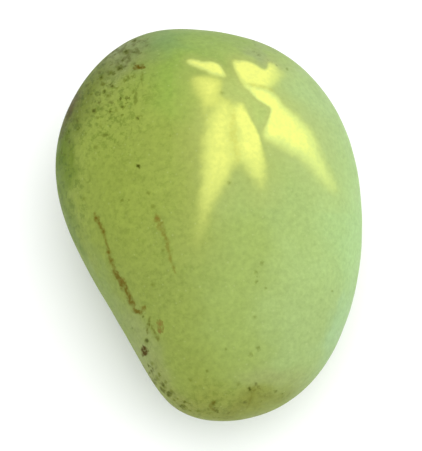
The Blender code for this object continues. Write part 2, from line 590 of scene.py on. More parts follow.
WASHES = {
    # partly the skin's own paler tone, partly painted reflection of bright light in the waxy skin
    "right_side": Wash(Pixel(322, 235), (75, 190), srgb(173, 196, 123)),
    # painted reflection: the right rim paler and bluer
    "back_edge": Wash(Pixel(368, 232), (38, 150), srgb(181, 213, 144)),
    # painted reflection: the upper right rim paler and bluer
    "upper_back_edge": Wash(Pixel(350, 124), (14, 40), srgb(188, 218, 152), 0.6, -30),
    "crown": Wash(Pixel(215, 40), (80, 26), srgb(158, 184, 102), 0.8),
    "crown_belly": Wash(Pixel(174, 80), (32, 34), srgb(151, 186, 86), 0.5, -20),
    # partly own tone, partly painted reflection on the upper right
    "back_crown": Wash(Pixel(308, 102), (60, 54), srgb(179, 204, 137), 0.9, 50),
    # partly own tone, partly painted light near the sunlight patches
    "round_the_sun": Wash(Pixel(244, 112), (44, 50), srgb(188, 204, 118), 0.85),
    # partly own tone, partly painted light below the sunlight patches
    "below_the_sun": Wash(Pixel(238, 196), (38, 26), srgb(172, 191, 119), 0.6),
    "belly": Wash(Pixel(100, 185), (46, 80), srgb(158, 174, 82), 0.8),
    "middle": Wash(Pixel(200, 300), (60, 90), srgb(158, 174, 92), 0.8),
    "lower_belly": Wash(Pixel(100, 286), (13, 84), srgb(155, 175, 95), 0.8, -30),
    "tip": Wash(Pixel(218, 410), (64, 26), srgb(154, 161, 77), 0.9),
    # partly own tone, partly painted reflection on the lower right
    "lower_back": Wash(Pixel(305, 335), (52, 62), srgb(172, 194, 126), 0.8),
    "shoulder_bruise": Wash(Pixel(123, 52), (36, 26), srgb(147, 156, 102), 0.88, -28),
    # painted shade: the upper left rim darker
    "upper_rim": Wash(Pixel(78, 99), (17, 64), srgb(117, 130, 56), 0.88, 24),
    "top_strip": Wash(Pixel(162, 40), (26, 13), srgb(131, 163, 97), 0.7, -12),
    # painted shade: the left rim darker
    "belly_rim": Wash(Pixel(58, 150), (12, 62), srgb(112, 137, 44), 0.9),
    # painted shade: a dark brown band on the left rim
    "shaded_rim": Wash(Pixel(64, 110), (9, 26), srgb(96, 83, 3), 0.9, 20),
    "tip_smudge": Wash(Pixel(254, 394), (10, 8), srgb(142, 146, 74), 0.6),
    "tip_blush": Wash(Pixel(272, 378), (38, 15), srgb(165, 170, 112), 0.5, 10),
    "crown_smudge": Wash(Pixel(266, 55), (26, 8), srgb(164, 174, 124), 0.6, 20),
    # partly own tone, partly painted reflection down the middle
    "pale_middle": Wash(Pixel(236, 270), (30, 120), srgb(166, 187, 108), 0.6, 4),
    # painted reflection: the lower right rim paler and bluer
    "lower_edge": Wash(Pixel(342, 332), (14, 56), srgb(176, 209, 154), 0.65, 24),
    "tip_edge": Wash(Pixel(256, 405), (40, 9), srgb(145, 150, 72), 0.66, -16),
    "lower_strip": Wash(Pixel(143, 343), (12, 46), srgb(168, 179, 114), 0.65, -28),
    "tip_rim": Wash(Pixel(167, 389), (11, 40), srgb(160, 163, 92), 0.45, -40),
    # painted shade: a darker band on the left rim
    "left_edge": Wash(Pixel(70, 224), (8, 44), srgb(112, 138, 56), 0.5, -22),
}

# patches of painted sunlight, pale yellow, laid into the skin's colour
PAINTED_SUN_PATCHES = {
    "sun_lens": PaintedSunPatch(
        (
            (187.5, 61.6, 2.2), (191.5, 59.8, 1.8), (197.5, 60.5, 1.5), (204, 62, 1.3),
            (211, 61.9, 1.2), (216, 63.3, 1.2), (219.8, 65.8, 1.3), (222.8, 70.6, 1.6),
            (225, 76.5, 2.2), (216.5, 74.2, 2.6), (210, 72.4, 2.6), (204.4, 69.8, 2.6), (198, 67, 2.8),
            (191.8, 64.4, 2.6),
        ),
        strength=0.95, paleness=0.7,
    ),
    "sun_drop": PaintedSunPatch(
        (
            (195.5, 80, 6.5), (203, 77.5, 4.5), (211.5, 77.5, 4.2), (219.5, 80, 4.2), (220.3, 87, 4.2),
            (219, 94, 5.6), (215, 101, 7), (210, 108, 8.4), (204, 114, 8.4), (201.5, 105, 7),
            (198.5, 96, 8), (196.5, 87, 8),
        ),
        strength=0.8, bright_at=Pixel(210, 86), faint_at=Pixel(204, 114), faint=0.45, paleness=0.15,
    ),
    "sun_left_blade": PaintedSunPatch(
        (
            (220.5, 106, 6), (226, 104, 4.2), (231, 112, 6), (232, 124, 7), (232.5, 140, 8),
            (234, 152, 8), (233, 163, 7), (229.5, 174, 6), (223.5, 187, 6), (217, 198, 6),
            (210.5, 212, 6), (205, 227, 7), (197, 243, 8.4), (196, 226, 7), (198, 208, 5.6),
            (200.5, 192, 5.6), (203, 176, 6.5), (204, 160, 8), (205, 145, 8.5), (207.5, 129, 8),
            (212, 117, 7),
        ),
        strength=0.84, bright_at=Pixel(218, 140), faint_at=Pixel(199, 238), faint=0.38, paleness=0.3,
    ),
    "sun_join": PaintedSunPatch(
        (
            (208, 100, 4), (214, 96, 4), (222, 96, 4), (229, 98, 4), (232, 103, 4), (230, 110, 5),
            (218, 112, 5), (210, 108, 5),
        ),
        strength=0.3,
    ),
    "sun_middle_blade": PaintedSunPatch(
        (
            (236, 105.5, 4.5), (241.5, 104, 3), (244.8, 108.3, 2), (249, 115.4, 1.4),
            (252.5, 122.4, 1.3), (256.6, 130, 1.2), (259.4, 137, 1.2), (261.2, 144, 1.4),
            (262.6, 152, 3), (264, 161, 5), (265, 170, 6), (264.5, 180, 7), (261, 187, 7.5),
            (253.5, 178, 7), (247, 168.5, 7), (241, 161, 8), (237.5, 153, 8.5), (236, 143, 8.5),
            (235, 133, 8), (232.5, 124, 7), (233, 114, 6.5),
        ),
        strength=0.93, bright_at=Pixel(250, 136), faint_at=Pixel(262, 188), faint=0.6, paleness=0.45,
    ),
    "sun_crown_patch": PaintedSunPatch(
        (
            (233.6, 61.9, 2.8), (239, 61, 2), (246.7, 61.4, 1.5), (252.3, 63.2, 1.3),
            (257.2, 65.8, 1.2), (262, 69, 1.2), (266, 69.5, 1.2), (267.8, 66.5, 1.4), (269, 63, 2.4),
            (275, 65, 3.9), (281, 70, 4.5), (284.5, 74.5, 4.5), (281, 80, 4.5), (273, 86, 5),
            (266, 88.5, 4.6), (258, 88, 4.4), (250, 85.5, 4), (243.5, 83, 3), (239, 76.7, 2),
            (236, 71, 2),
        ),
        strength=1.0, bright_at=Pixel(262, 74), faint_at=Pixel(282, 74), faint=0.45, paleness=0.6,
    ),
    "sun_right_blade": PaintedSunPatch(
        (
            (245, 85.5, 2.4), (250, 91, 1.4), (256.3, 98.3, 1.2), (264.3, 103.4, 1.2),
            (269, 106.3, 1.2), (271, 109.8, 1.2), (270.6, 114, 1.2), (268.6, 120, 1.4), (266.6, 126, 2),
            (265, 132, 4), (266.5, 137.5, 5.6), (274, 140.5, 7.5), (282.5, 145, 7.5), (290, 150.5, 6.5),
            (298, 155, 6.5), (306, 161.5, 6.5), (312.5, 170, 6.5), (319, 178.5, 6.5), (327, 186.5, 7.5),
            (335, 190, 7.5), (332, 178, 6), (325.5, 166, 6), (319.5, 153, 6), (314, 140, 6),
            (308, 130.5, 6), (301.8, 123, 5.5), (294.5, 116, 5), (287, 110.5, 4.6), (281, 104, 4),
            (276, 97, 3.6), (270, 92, 3.2), (262, 89.5, 2.6), (252.5, 87.5, 2.6),
        ),
        strength=1.0, bright_at=Pixel(290, 118), faint_at=Pixel(333, 188), faint=0.5, paleness=1.0,
    ),
}

SCARS_AND_SUN_SEAMS = {
    "long_scar": ScarOrSunSeam(
        (
            (94.5, 212, 0.2), (96, 217, 2.3), (98.5, 222.5, 2.1), (102, 229.5, 2.2), (104.6, 237, 1.0),
            (106.6, 243, 0.5), (108.4, 252, 1.9), (110.5, 259, 1.9), (114, 268.5, 2.1),
            (117.5, 275.5, 2.9), (121.2, 281.5, 4.0), (124.8, 288.5, 3.0), (128.7, 297, 2.5),
            (132.8, 304.5, 2.4), (134.8, 309.5, 2.2), (138.8, 311.5, 2.6), (143.5, 308.3, 2.3),
            (145, 306, 0.9),
        ),
        srgb(120, 104, 42), strength=0.8, softness=1.9, sway=1.5,
    ),
    "short_scar": ScarOrSunSeam(
        (
            (155.5, 214, 0.9), (157, 218, 3.6), (160.3, 226.5, 3.2), (163.8, 233.5, 2.0),
            (167.2, 243.5, 2.3), (169.4, 252, 2.2), (170.4, 259, 1.4), (173, 266, 1.0),
            (175.5, 273, 0.9),
        ),
        srgb(130, 118, 50), strength=0.52, softness=1.9, sway=1.4,
    ),
    "shoulder_dash": ScarOrSunSeam(
        ((133.5, 68.3, 1.0), (136, 67.4, 2.2), (139.5, 66.8, 1.9), (143, 66.8, 2.1), (145, 67.4, 0.8)),
        srgb(110, 98, 38), strength=0.95, softness=1.1, sway=1.0,
    ),
    "shoulder_crease": ScarOrSunSeam(
        ((142.2, 72, 0.7), (142, 76, 1.5), (141.3, 81, 1.0), (142.4, 85, 0.8)),
        srgb(106, 112, 46), strength=0.55, softness=1.3, sway=1.6,
    ),
    "belly_dot": ScarOrSunSeam(
        ((137.8, 165.9, 2.0), (138.8, 167.3, 2.0)),
        srgb(88, 94, 24), strength=0.92, softness=1.3, sway=0.2,
    ),
    "belly_ring": ScarOrSunSeam(
        (
            (84, 169.5, 0.5), (87.5, 169.8, 0.7), (90.2, 174.5, 0.9), (90, 180, 0.9),
            (86.8, 182.5, 0.7), (84, 178.5, 0.5),
        ),
        srgb(110, 126, 54), strength=0.36, softness=1.3, sway=0.8,
    ),
    # painted sunlight: a pale seam that joins the two long sunlight patches
    "sun_seam": ScarOrSunSeam(
        ((234, 110, 1.6), (233.2, 124, 3.0), (234, 138, 3.2), (236.5, 150, 3.0), (238, 160, 1.8)),
        srgb(204, 198, 92), strength=0.34, softness=3.0, sway=1.0,
    ),
    # painted sunlight: a pale seam that joins the crown's sunlight patch to the right one
    "crown_sun_seam": ScarOrSunSeam(
        ((249, 84, 0.8), (256, 85.6, 1.7), (262, 86.8, 1.4), (268, 88.2, 1.2), (273, 91, 0.7)),
        srgb(188, 188, 92), strength=0.42, softness=2.0, sway=1.6,
    ),
    "belly_streak": ScarOrSunSeam(
        ((136.2, 90, 0.6), (135.8, 95, 1.8), (136, 99.5, 2.1), (134.8, 105, 0.8)),
        srgb(98, 108, 40), strength=0.45, softness=1.2, sway=1.4,
    ),
    "belly_dash": ScarOrSunSeam(
        ((101, 135.4, 0.7), (105, 135.2, 1.7), (109, 134.6, 1.0)),
        srgb(104, 116, 48), strength=0.55, softness=1.1, sway=1.2,
    ),
    "edge_spot": ScarOrSunSeam(
        ((143, 346, 1.0), (144.2, 349.5, 3.0), (144.4, 352.5, 3.4), (143, 356, 0.8)),
        srgb(96, 80, 30), strength=0.95, softness=1.4, sway=1.0,
    ),
    "lower_streak": ScarOrSunSeam(
        ((150, 318, 1.7), (148.8, 323, 1.8), (146.8, 328, 1.4), (147.5, 333, 1.3)),
        srgb(112, 116, 52), strength=0.78, softness=1.6, sway=3.2,
    ),
    "lower_streak_2": ScarOrSunSeam(
        ((151.5, 325, 0.9), (153, 331, 1.4), (157.5, 336.5, 1.7), (158.5, 341, 0.9)),
        srgb(118, 122, 56), strength=0.72, softness=1.6, sway=3.2,
    ),
    "tip_squiggle": ScarOrSunSeam(
        ((215.5, 401, 0.8), (212, 404, 1.7), (210, 407, 1.1), (214.5, 410.5, 1.1)),
        srgb(112, 104, 36), strength=0.6, softness=1.2, sway=1.6,
    ),
    "tip_crease": ScarOrSunSeam(
        ((254.5, 387, 1.2), (252.8, 392, 1.8), (251.5, 397, 2.0), (249.5, 403, 1.2), (246, 409, 0.6)),
        srgb(116, 116, 50), strength=0.42, softness=1.8, sway=1.6,
    ),
    "tip_smear": ScarOrSunSeam(
        ((257, 395.5, 0.8), (263, 396.5, 1.6), (269, 396, 1.6), (274, 394.5, 0.6)),
        srgb(118, 120, 56), strength=0.34, softness=2.0, sway=2.6,
    ),
}

SPECKS = (
    (147, 341, 2.4), (148.5, 365.5, 3.2), (153, 369, 2.6), (163.5, 385.5, 3.6), (168, 395, 2.8),
    (183, 407, 3.8), (143, 316.5, 1.4), (137.5, 117.5, 2.6), (126, 51.5, 3.2), (128, 77, 2.2),
    (119.6, 99.5, 3.5), (128, 98, 2.1), (94, 111, 3.0), (110.5, 111.5, 1.9), (123, 107, 2.2),
    (114, 103, 2.2), (104, 91, 2.6), (112.5, 86, 1.9), (101.5, 77.5, 2.4), (120, 68, 3.2),
    (134, 41, 2.8), (249.5, 389, 2.2), (214, 403, 2.6),
)
FAINT_SPECKS = (
    (262, 263, 2.0), (256, 272, 2.0), (256.5, 281.5, 1.8), (255, 317, 1.9), (258.5, 347.6, 2.9),
    (251, 354, 2.6), (149, 193, 2.0), (122.4, 200.5, 1.9), (153, 207, 2.6), (84, 199, 1.8),
    (170, 136, 1.4), (129, 200, 1.4), (152, 285, 2.2), (163, 250, 1.5), (130, 126, 2.0),
    (132, 130, 1.6), (96, 147, 2.2), (141.5, 116, 1.6), (128.5, 86.5, 2.2), (125, 80, 2.6),
    (133, 76, 2.4), (117, 88, 1.8), (98, 118, 1.8), (266, 288, 1.2), (332, 291, 1.1), (226, 349, 1.2),
    (207, 371, 1.4), (238, 384, 2.0), (190, 380, 1.8), (222.5, 93, 2.0), (229.5, 183, 1.8),
    (103, 84, 2.2), (108, 96, 2.0), (116, 110, 2.0), (122, 115, 1.6), (90, 126, 2.2), (86, 133, 2.0),
    (100, 126, 2.0), (111, 73, 2.6), (133, 92, 1.8), (124, 92, 1.8), (157, 378, 3.2), (174.5, 400, 3.2),
    (190.5, 410.5, 2.8), (152.5, 363.5, 2.6), (159.5, 374.5, 2.6), (165.5, 381.5, 2.6),
    (171.5, 391, 2.8), (177.5, 399, 2.6), (185, 401.5, 2.8), (190, 404.5, 2.6), (198, 411, 2.8),
    (287, 69, 1.5),
)
SORES = (
    (160.4, 330, 5.2), (160, 324, 5.4), (122, 281.5, 3.4), (157.6, 218.4, 2.8),
)


@dataclass(frozen=True)
class Roughening:
    """A zone of corky specks: where in the picture, how far it reaches, its turn and its density."""

    at: Pixel
    reach: Pair
    turn: float
    density: float


GREY_ZONES = {
    "shoulder": Roughening(Pixel(124, 54), (36, 22), -30, 1.0),
    "upper_belly": Roughening(Pixel(102, 90), (32, 38), 0, 0.85),
    "belly_rim": Roughening(Pixel(66, 122), (13, 44), 10, 0.9),
    "back_crown": Roughening(Pixel(266, 53), (28, 8), 24, 0.72),
    "above_tip": Roughening(Pixel(162, 386), (10, 40), -38, 0.92),
    "tip_side": Roughening(Pixel(262, 396), (36, 14), -15, 0.76),
    "tip": Roughening(Pixel(214, 408), (30, 10), 0, 0.75),
}

DARK_ZONES = {
    "above_tip": Roughening(Pixel(163, 388), (9, 38), -40, 0.85),
    "tip": Roughening(Pixel(214, 411), (36, 10), 0, 0.66),
    "tip_side": Roughening(Pixel(258, 399), (32, 10), -15, 0.6),
    "lower_belly": Roughening(Pixel(140, 342), (9, 26), -28, 0.5),
    "shoulder": Roughening(Pixel(118, 62), (34, 24), -35, 0.6),
    "upper_belly": Roughening(Pixel(114, 98), (40, 32), 0, 0.6),
    "belly_rim": Roughening(Pixel(68, 114), (9, 30), 0, 0.75),
    "back_crown": Roughening(Pixel(286, 70), (14, 10), 35, 0.36),
}

FLECK_ZONES = {
    "upper_belly": Roughening(Pixel(100, 98), (56, 70), 0, 0.95),
    "left_rim": Roughening(Pixel(66, 200), (26, 90), 0, 0.8),
    "front": Roughening(Pixel(150, 230), (80, 200), 0, 0.34),
    "tip": Roughening(Pixel(200, 404), (70, 26), 0, 0.6),
}
PLAIN_FLECKS = 0.1


class SkinPainter:
    """Paints the fruit's points, through the photograph's camera.

    How much the picture shows of a point runs from 0, where the skin faces away by BEHIND, to 1. Marks
    are painted where it is over SHOWN. MARGIN is how far round a mark's line points are looked at, in
    pixels. STRAYS are the sizes of the waves in which the brushes' edges stray, and how far.
    """

    BEHIND = -0.45
    SHOWN = 0.9
    MARGIN = 24
    DEEPEST = 4.0
    EDGE_BLEND = 2.5
    SCAR_ROOM = 10.0
    FAR = 9.0
    SPECK_ROOM = 2.2 * MM
    SHARE_OF_GAP = 0.45
    MOST_DRAWN_OUT = 2.4
    TINY = 1e-9
    BRUSH_POWER = 1.3
    STRAYS = ((9 * MM, 3.4 * MM), (3 * MM, 1.4 * MM))
    STRAY_SEED = 4

    def __init__(self, piece: bpy.types.Object, camera: PhotoCamera) -> None:
        """Reads the fruit's points and finds each one's place in the picture.

        Args:
            piece: The fruit's object, at the origin.
            camera: The photograph's camera.
        """
        self.mesh = piece.data
        self.camera = camera
        self.places = read_rows(self.mesh.vertices, "co")
        self.normals = read_rows(self.mesh.vertex_normals, "vector")
        self.pixels = camera.pixels(self.places)
        self.strayed = camera.pixels(self.places + self._stray())
        self.toward = np.array(camera.place) - self.places
        self.toward /= np.linalg.norm(self.toward, axis=1, keepdims=True)
        self.facing = (self.toward * self.normals).sum(axis=1)
        self.seen = smoothstep(self.BEHIND, 0.0, self.facing)
        self.tree = BVHTree.FromObject(piece, bpy.context.evaluated_depsgraph_get())

    def _stray(self) -> np.ndarray:
        """Works out how far each point strays, so that no brush leaves an even edge.

        Returns:
            One row of three values in metres for each point.
        """
        noise.seed_set(self.STRAY_SEED)
        stray = np.zeros_like(self.places)
        for size, reach in self.STRAYS:
            stray += [noise.noise_vector(place / size) * reach for place in self.places]
        return stray

    def on_skin(self, pixel: Pixel) -> Vector:
        """Finds the point of the skin that the picture shows at a pixel.

        Args:
            pixel: The point of the picture.

        Returns:
            The point of the skin, in metres.
        """
        ray = self.camera.ray(pixel)
        hit = self.tree.ray_cast(self.camera.place, ray)[0]
        if hit is None:
            away = self.camera.place + ray * self.camera.distance
            hit = self.tree.find_nearest(away)[0]
        return hit

    def brush(self, at: Pixel, reach: Pair, turn: float) -> np.ndarray:
        """Finds how strongly a soft oval brush covers each point that the picture shows.

        Args:
            at: The brush's middle.
            reach: Its half width and half height, in pixels.
            turn: How far it is turned clockwise in the picture, in degrees.

        Returns:
            A cover from 0 to 1 for each point.
        """
        dx = self.strayed[:, 0] - at.x
        dy = self.strayed[:, 1] - at.y
        angle = math.radians(turn)
        along = (dx * math.cos(angle) + dy * math.sin(angle)) / reach[0]
        across = (dy * math.cos(angle) - dx * math.sin(angle)) / reach[1]
        return np.exp(-((along**2 + across**2) ** self.BRUSH_POWER)) * self.seen

    def wash(self, tone: np.ndarray, washes: Iterable[Wash]) -> np.ndarray:
        """Lays washes of colour over a tone.

        Args:
            tone: One colour for each point.
            washes: The washes, from the first to the last.

        Returns:
            The tone with the washes on it.
        """
        for wash in washes:
            cover = (self.brush(wash.at, wash.reach, wash.turn) * wash.strength)[:, None]
            tone = tone * (1 - cover) + np.array(wash.colour) * cover
        return tone

    def patch(self, patch: PaintedSunPatch) -> np.ndarray:
        """Works out a patch of painted sunlight on the points that the picture shows.

        Args:
            patch: The patch.

        Returns:
            For each point, how far it is inside the edge in widths of the edge's softness, where 0.5 is
            the edge itself, then the patch's strength there, and its paleness.
        """
        line = smooth_line(np.array(patch.outline), closed=True)
        near = self._near(line)
        points = self.pixels[near]
        away = np.linalg.norm(points[:, None, :] - line[None, :, :2], axis=2)
        reach = away.min(axis=1)
        signed = np.where(self._inside(points, line), reach, -reach)
        closeness = np.exp((reach[:, None] - away) / self.EDGE_BLEND)
        softness = (closeness * line[:, 2]).sum(axis=1) / closeness.sum(axis=1)
        values = np.empty((len(self.pixels), 3))
        values[:, 0] = -self.DEEPEST
        values[near, 0] = np.clip(0.5 + signed / (2 * softness), -self.DEEPEST, self.DEEPEST)
        values[:, 1] = patch.strength
        values[:, 2] = patch.paleness
        if patch.faint < 1:
            start = np.array(patch.bright_at)
            run = np.array(patch.faint_at) - start
            share = (self.pixels - start) @ run / (run @ run)
            values[:, 1] *= 1 - (1 - patch.faint) * smoothstep(0, 1, share)
        return values

    def _near(self, line: np.ndarray) -> np.ndarray:
        """Finds the points that the picture shows and that are inside or near a line.

        Args:
            line: The line's points, with x and y in pixels first.

        Returns:
            Whether it is so, for each point of the fruit.
        """
        low = line[:, :2].min(axis=0) - self.MARGIN
        high = line[:, :2].max(axis=0) + self.MARGIN
        return np.all((self.pixels > low) & (self.pixels < high), axis=1) & (self.seen > self.SHOWN)

    def _inside(self, points: np.ndarray, line: np.ndarray) -> np.ndarray:
        """Finds which points of the picture a closed line goes round.

        Args:
            points: One row of x and y in pixels for each point.
            line: The line's points, with x and y in pixels first.

        Returns:
            Whether it is so, for each of the points.
        """
        inside = np.zeros(len(points), dtype=bool)
        for start, end in zip(line, np.roll(line, -1, axis=0)):
            spans = (start[1] > points[:, 1]) != (end[1] > points[:, 1])
            if spans.any():
                slope = (end[0] - start[0]) / (end[1] - start[1])
                inside ^= spans & (points[:, 0] < start[0] + (points[:, 1] - start[1]) * slope)
        return inside

    def scar(self, scar: ScarOrSunSeam) -> np.ndarray:
        """Works out a scar, or a seam of painted sunlight, on the points that the picture shows.

        Args:
            scar: The scar.

        Returns:
            For each point, how far it is to the side of the scar's line, with a sign, and half the scar's
            width there, both in pixels, and a spare zero.
        """
        line = smooth_line(np.array(scar.line), closed=False)
        start, end = line[:-1], line[1:]
        run = end[:, :2] - start[:, :2]
        length = np.linalg.norm(run, axis=1)
        near = self._near(line)
        points = self.pixels[near]
        out = points[:, None, :] - start[None, :, :2]
        share = np.clip((out * run).sum(axis=2) / length**2, 0, 1)
        foot = start[None, :, :2] + share[..., None] * run
        away = np.linalg.norm(points[:, None, :] - foot, axis=2)
        nearest = away.argmin(axis=1)
        rows = np.arange(len(points))
        turned = run[nearest, 0] * out[rows, nearest, 1] - run[nearest, 1] * out[rows, nearest, 0]
        aside = turned / length[nearest]
        part = share[rows, nearest]
        width = start[nearest, 2] * (1 - part) + end[nearest, 2] * part
        reach = away[rows, nearest]
        past_the_end = np.sqrt(np.maximum(reach**2 - aside**2, 0))
        values = np.zeros((len(self.pixels), 3))
        values[:, 1] = -self.FAR
        values[near, 0] = aside
        values[near, 1] = np.where(reach < self.SCAR_ROOM, width - past_the_end, -self.FAR)
        return values

    def specks(self, middles: np.ndarray, radii: np.ndarray) -> np.ndarray:
        """Works out small round specks anywhere on the skin.

        Args:
            middles: One row for each speck's middle, in metres.
            radii: Each speck's radius, in metres.

        Returns:
            For each point near a speck, the way to it from the speck's middle in units of the speck's
            radius, and a long vector for each point far from them all.
        """
        values = np.full((len(self.places), 3), self.FAR)
        gaps = np.linalg.norm(middles[:, None] - middles[None], axis=2)
        np.fill_diagonal(gaps, gaps.max())
        room = np.minimum(self.SPECK_ROOM, self.SHARE_OF_GAP * gaps.min(axis=1))
        for middle, radius, reach in zip(middles, radii, room):
            out = self.places - middle
            away = np.linalg.norm(out, axis=1)
            near = away < max(reach, radius)
            nearest = away.argmin()
            if self.seen[nearest] == 1:
                facing = max(self.facing[nearest], 1 / self.MOST_DRAWN_OUT)
                slope = self.toward[nearest] - self.facing[nearest] * self.normals[nearest]
                slope /= np.linalg.norm(slope) + self.TINY
                out -= (1 - facing) * (out @ slope)[:, None] * slope
            values[near] = out[near] / radius
        return values


@dataclass(frozen=True)
class SkinFinish:
    """The waxy skin of a green mango, with its patches of painted sunlight, pores, corky specks and scars.

    The colours are as the photograph shows them. Pressing is how much places are pressed together along
    the view, so that blotches are drawn out on steep skin. The light, paling and rim of a patch of painted
    sunlight run over ranges of the value that its edge is kept with, where 0.5 is the edge itself. The rim
    and core of a speck run over ranges of its radius, from where they end to where they are full.
    """

    ground: Colour = srgb(160, 175, 86)
    underside: Colour = srgb(150, 172, 84)
    stalk_end: Colour = srgb(166, 176, 92)
    # painted sunlight: the colours of the sunlight patches, their edges and their rims
    sun: Colour = srgb(243, 246, 129)
    pale_sun: Colour = srgb(245, 250, 135)
    sun_edge: Colour = srgb(217, 223, 114)
    pale_edge: Colour = srgb(217, 232, 136)
    sun_rim: Colour = srgb(188, 192, 112)
    cork: Colour = srgb(118, 94, 40)
    red_cork: Colour = srgb(150, 112, 66)
    dark_cork: Colour = srgb(74, 77, 26)
    zone_cork: Colour = srgb(88, 95, 38)
    olive_cork: Colour = srgb(108, 118, 48)
    grey_cork: Colour = srgb(94, 96, 50)
    pore: Colour = srgb(206, 218, 152)
    fleck_tint: Colour = (0.58, 0.65, 0.44)
    light_range: Pair = (-0.3, 1.35)
    paling_range: Pair = (-0.6, 0.8)
    rim_range: Pair = (-2.2, 0.2)
    rim_share: float = 0.35
    edge_colour_range: Pair = (0.0, 0.6)
    sun_colour_range: Pair = (0.48, 1.05)
    speck_rim: Pair = (2.5, 1.45)
    speck_core: Pair = (1.8, 1.15)
    rim_strength: float = 0.6
    core_strength: float = 0.75
    raggedness: float = 2.2
    grey_share: float = 0.58
    dark_share: float = 0.6
    exposure: float = 0.76
    bloom: float = 0.018
    gloss: float = 0.10
    shine: Pair = (0.51, 0.63)
    cork_roughness: float = 0.25
    cloud: float = 14 * MM
    fleck: float = 1.7 * MM
    grain: float = 1.3 * MM
    blotch: float = 1.9 * MM
    blot: float = 1.8 * MM
    pressing: float = 0.6
    pore_spacing: float = 1.7 * MM
    pore_radii: Pair = (0.06, 0.24)
    pore_strength: float = 0.18
    pore_depth: float = 0.35
    cork_height: float = 0.8
    dimple: float = 2.4 * MM
    depth: float = 0.06 * MM

    def build(self, effects: Effects, toward: Vector) -> bpy.types.Material:
        """Makes the skin's material.

        Args:
            effects: The shared node groups.
            toward: The way to the photograph's camera.

        Returns:
            The material.
        """
        material, graph, shader = new_material("green_mango_skin")
        place = graph.add("ShaderNodeTexCoord").outputs["Object"]
        depth = graph.vectors("DOT_PRODUCT", {0: place, 1: toward})["Value"]
        shift = graph.vectors("SCALE", {0: toward, "Scale": graph.times(depth, -self.pressing)})[0]
        drawn_out = graph.vectors("ADD", {0: place, 1: shift})[0]
        grey_cover, dark_cover, fleck_cover = graph.split(graph.painted("cork_zones"))

        colour = graph.painted("tone_and_painted_light")
        colour = graph.group(effects.mottling, Place=place, Size=self.cloud, Amount=0.18, Colour=colour)
        flecks = graph.ease(graph.noise(drawn_out, self.fleck, 4, 0.72), 0.47, 0.64)
        colour = graph.mix(graph.times(flecks, fleck_cover), colour, self.fleck_tint, "MULTIPLY")
        colour = graph.group(effects.mottling, Place=place, Size=self.grain, Amount=0.48, Colour=colour)
        colour = self._painted_sunlight(graph, place, colour)
        colour, pores = self._pores(graph, place, colour)
        grey = graph.group(
            effects.speckles, Place=drawn_out, Size=self.blotch, Cover=grey_cover, Softness=0.24
        )
        dark = graph.group(effects.blots, Place=drawn_out, Size=self.blot, Cover=dark_cover, Softness=0.34)
        colour = graph.mix(graph.times(grey, self.grey_share), colour, self.under_light(self.grey_cork))
        colour = graph.mix(graph.times(dark, self.dark_share), colour, self.under_light(self.zone_cork))
        cork = graph.most(graph.times(grey, 0.4), dark)
        colour, cork = self._specks(graph, drawn_out, colour, cork)
        colour, cork = self._scars_and_sun_seams(graph, drawn_out, colour, cork)
        graph.tree.links.new(colour, shader.inputs["Base Color"])

        waxy = graph.ease(graph.noise(place, 6 * MM, 3), 0.3, 0.7, *self.shine)
        rough = graph.math("ADD", waxy, graph.times(cork, self.cork_roughness))
        graph.tree.links.new(rough, shader.inputs["Roughness"])
        shader.inputs["Specular IOR Level"].default_value = self.gloss

        ripples = graph.times(graph.noise(place, self.dimple, 3), 0.5)
        sunk = graph.math("SUBTRACT", ripples, graph.times(pores, self.pore_depth))
        height = graph.math("ADD", sunk, graph.times(cork, self.cork_height))
        graph.tree.links.new(graph.relief(height, 0.5, self.depth), shader.inputs["Normal"])
        return material

    def _painted_sunlight(self, graph: Graph, place: object, colour: object) -> bpy.types.NodeSocket:
        """Lays the patches of painted sunlight, pale yellow, with a faint olive rim of painted light round
        each crisp edge.

        Args:
            graph: The material's graph.
            place: Where the effects are read.
            colour: The skin's colour so far.

        Returns:
            The colour with the patches.
        """
        wobble = graph.times(graph.math("SUBTRACT", graph.noise(place, 2.4 * MM, 3), 0.5), 0.4)
        light = 0.0
        rim = 0.0
        pale = 0.0
        for name in PAINTED_SUN_PATCHES:
            edge, strength, paleness = graph.split(graph.painted(name))
            edge = graph.math("ADD", edge, wobble)
            inner = graph.times(graph.ease(edge, *self.light_range), strength)
            light = graph.math("MULTIPLY_ADD", inner, graph.math("SUBTRACT", 1.0, light), light)
            pale = graph.most(graph.times(graph.ease(edge, *self.paling_range), paleness), pale)
            rim = graph.most(graph.times(graph.ease(edge, *self.rim_range), strength), rim)
        uneven = graph.ease(graph.noise(place, 4 * MM, 3), 0.25, 0.75, 0.9, 1.06)
        grainy = graph.ease(graph.noise(place, 1.1 * MM, 3), 0.3, 0.7, 0.88, 1.1)
        light = graph.times(light, graph.times(uneven, grainy))
        colour = graph.mix(graph.times(rim, self.rim_share), colour, self.under_light(self.sun_rim))
        edge = graph.mix(pale, self.under_light(self.sun_edge), self.under_light(self.pale_edge))
        middle = graph.mix(pale, self.under_light(self.sun), self.under_light(self.pale_sun))
        colour = graph.mix(graph.ease(light, *self.edge_colour_range), colour, edge)
        return graph.mix(graph.ease(light, *self.sun_colour_range), colour, middle)

    def _pores(
        self, graph: Graph, place: object, colour: object
    ) -> tuple[bpy.types.NodeSocket, bpy.types.NodeSocket]:
        """Dots the skin with fine pale pores.

        Args:
            graph: The material's graph.
            place: Where the effects are read.
            colour: The skin's colour so far.

        Returns:
            The colour with the pores, and the pores' mask.
        """
        away, chance = graph.cells(place, 1 / self.pore_spacing)
        radius = graph.ease(chance, 0.0, 1.0, *self.pore_radii)
        pores = graph.ease(away, radius, graph.times(radius, 0.3))
        share = graph.times(pores, self.pore_strength)
        return graph.mix(share, colour, self.under_light(self.pore)), pores

